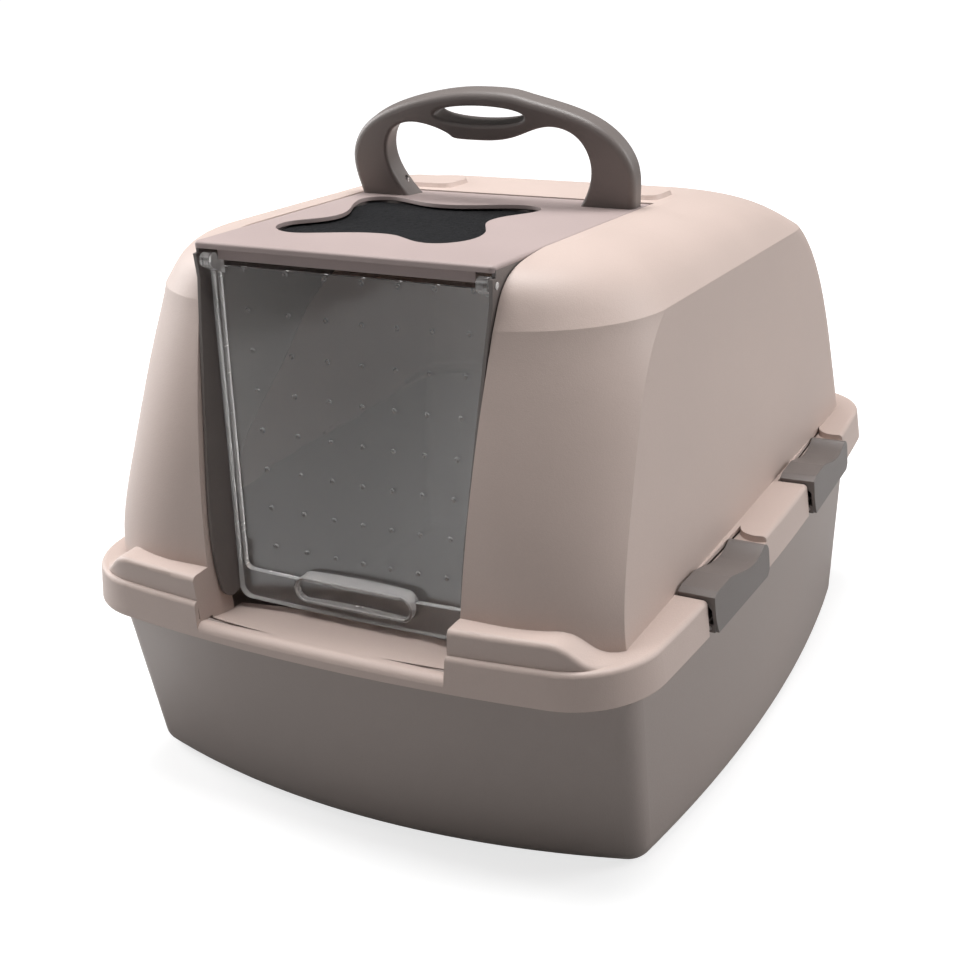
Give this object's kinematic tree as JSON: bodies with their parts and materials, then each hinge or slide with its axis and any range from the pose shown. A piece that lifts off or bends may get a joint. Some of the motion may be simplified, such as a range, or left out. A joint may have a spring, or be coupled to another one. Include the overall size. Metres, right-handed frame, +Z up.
{
  "type": "hooded litter box",
  "caption": "Front-entry hooded litter box: deep pan, domed hood held by side latches, lift-up visor with clear flap door, top filter and carrying handle.",
  "frame": {"origin": "on the floor under the middle of the box", "axes": "+Z up, -Y towards the entrance, +X to the right seen from the front"},
  "size_m": [0.4714, 0.5699, 0.4817],
  "materials": {
    "pan_plastic": "fine matt grain",
    "hood_plastic": "fine matt grain",
    "visor_plastic": "fine matt grain",
    "dark_plastic": "satin",
    "clear_plastic": "clear, lightly smoked",
    "filter_felt": "needled felt",
    "tray_plastic": "satin",
    "steel": "drawn wire"
  },
  "bodies": {
    "pan_body": {"pan": "pan_plastic", "latch_pin_front_left": "steel", "latch_pin_front_right": "steel", "latch_pin_rear_left": "steel", "latch_pin_rear_right": "steel"},
    "hood_body": {"hood": "hood_plastic", "visor_pin_left": "tray_plastic", "visor_pin_right": "tray_plastic"},
    "visor_body": {"visor": "visor_plastic", "cheek_left": "dark_plastic", "cheek_right": "dark_plastic", "handle": "dark_plastic", "handle_screws": "steel", "tray_pin_left": "steel", "tray_pin_right": "steel"},
    "door_body": {"door": "clear_plastic"},
    "filter_body": {"filter_tray": "tray_plastic", "filter_pad": "filter_felt"},
    "latch_front_left_body": {"latch_front_left": "dark_plastic"},
    "latch_rear_left_body": {"latch_rear_left": "dark_plastic"},
    "latch_front_right_body": {"latch_front_right": "dark_plastic"},
    "latch_rear_right_body": {"latch_rear_right": "dark_plastic"}
  },
  "joints": [
    {"name": "hood_lift", "type": "slide", "parent": "pan_body", "child": "hood_body", "axis": [0, 0, 1], "range_m": [0, 0.018]},
    {"name": "visor_hinge", "type": "hinge", "parent": "hood_body", "child": "visor_body", "pos_m": [0, 0.022, 0.386], "axis": [-1, 0, 0], "range_deg": [0, 60]},
    {"name": "door_swing", "type": "hinge", "parent": "visor_body", "child": "door_body", "pos_m": [0, -0.207, 0.399], "axis": [-1, 0, 0], "range_deg": [-37, 80]},
    {"name": "filter_tray_hinge", "type": "hinge", "parent": "visor_body", "child": "filter_body", "pos_m": [0, 0.00025, 0.38645], "axis": [1, 0, 0], "range_deg": [0, 75]},
    {"name": "latch_front_left_swing", "type": "hinge", "parent": "pan_body", "child": "latch_front_left_body", "pos_m": [-0.228, -0.0949, 0.152], "axis": [0.0332, -0.9995, 0], "range_deg": [0, 85]},
    {"name": "latch_rear_left_swing", "type": "hinge", "parent": "pan_body", "child": "latch_rear_left_body", "pos_m": [-0.228, 0.1129, 0.152], "axis": [-0.0332, -0.9995, 0], "range_deg": [0, 85]},
    {"name": "latch_front_right_swing", "type": "hinge", "parent": "pan_body", "child": "latch_front_right_body", "pos_m": [0.228, -0.0949, 0.152], "axis": [0.0332, 0.9995, 0], "range_deg": [0, 85]},
    {"name": "latch_rear_right_swing", "type": "hinge", "parent": "pan_body", "child": "latch_rear_right_body", "pos_m": [0.228, 0.1129, 0.152], "axis": [-0.0332, 0.9995, 0], "range_deg": [0, 85]}
  ],
  "couplings": [
    {"joint": "latch_front_left_swing", "follows": "hood_lift", "rad_per_m": 82.418},
    {"joint": "latch_rear_left_swing", "follows": "hood_lift", "rad_per_m": 82.418},
    {"joint": "latch_front_right_swing", "follows": "hood_lift", "rad_per_m": 82.418},
    {"joint": "latch_rear_right_swing", "follows": "hood_lift", "rad_per_m": 82.418}
  ]
}
